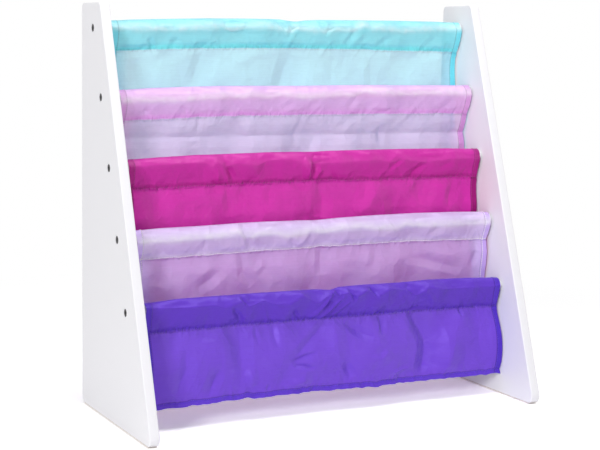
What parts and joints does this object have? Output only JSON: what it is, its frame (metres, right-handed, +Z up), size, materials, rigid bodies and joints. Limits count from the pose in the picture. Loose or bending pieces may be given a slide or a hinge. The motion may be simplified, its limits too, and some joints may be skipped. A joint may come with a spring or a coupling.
{
  "type": "sling bookshelf",
  "caption": "Low children's bookshelf: leaning side panels bolted to dowels that carry sewn cloth bands, which form stepped front-facing pockets for picture books.",
  "frame": {"origin": "on the floor, under the middle of the shelf's bounding box", "axes": "+X along the dowels to the right as seen from the front, +Y to the back, +Z up"},
  "size_m": [0.641, 0.2927, 0.61],
  "materials": {
    "painted_board": "white satin paint on fibreboard",
    "painted_dowel": "white satin paint on wood",
    "bolt_steel": "dark nickel plate",
    "insert_brass": "plain",
    "cloth_aqua": "thin plain-weave nylon with a soft sheen",
    "cloth_pink": "thin plain-weave nylon with a soft sheen",
    "cloth_magenta": "thin plain-weave nylon with a soft sheen",
    "cloth_lavender": "thin plain-weave nylon with a soft sheen",
    "cloth_purple": "thin plain-weave nylon with a soft sheen"
  },
  "bodies": {
    "root": {"side_panel_left": "painted_board", "side_panel_right": "painted_board", "dowel_1": "painted_dowel", "sling_aqua": "cloth_aqua", "bolt_left_1": "bolt_steel", "bolt_right_1": "bolt_steel", "insert_left_1": "insert_brass", "insert_right_1": "insert_brass", "dowel_2": "painted_dowel", "sling_pink": "cloth_pink", "bolt_left_2": "bolt_steel", "bolt_right_2": "bolt_steel", "insert_left_2": "insert_brass", "insert_right_2": "insert_brass", "dowel_3": "painted_dowel", "sling_magenta": "cloth_magenta", "bolt_left_3": "bolt_steel", "bolt_right_3": "bolt_steel", "insert_left_3": "insert_brass", "insert_right_3": "insert_brass", "dowel_4": "painted_dowel", "sling_lavender": "cloth_lavender", "bolt_left_4": "bolt_steel", "bolt_right_4": "bolt_steel", "insert_left_4": "insert_brass", "insert_right_4": "insert_brass", "dowel_5": "painted_dowel", "sling_purple": "cloth_purple", "bolt_left_5": "bolt_steel", "bolt_right_5": "bolt_steel", "insert_left_5": "insert_brass", "insert_right_5": "insert_brass"}
  },
  "joints": []
}
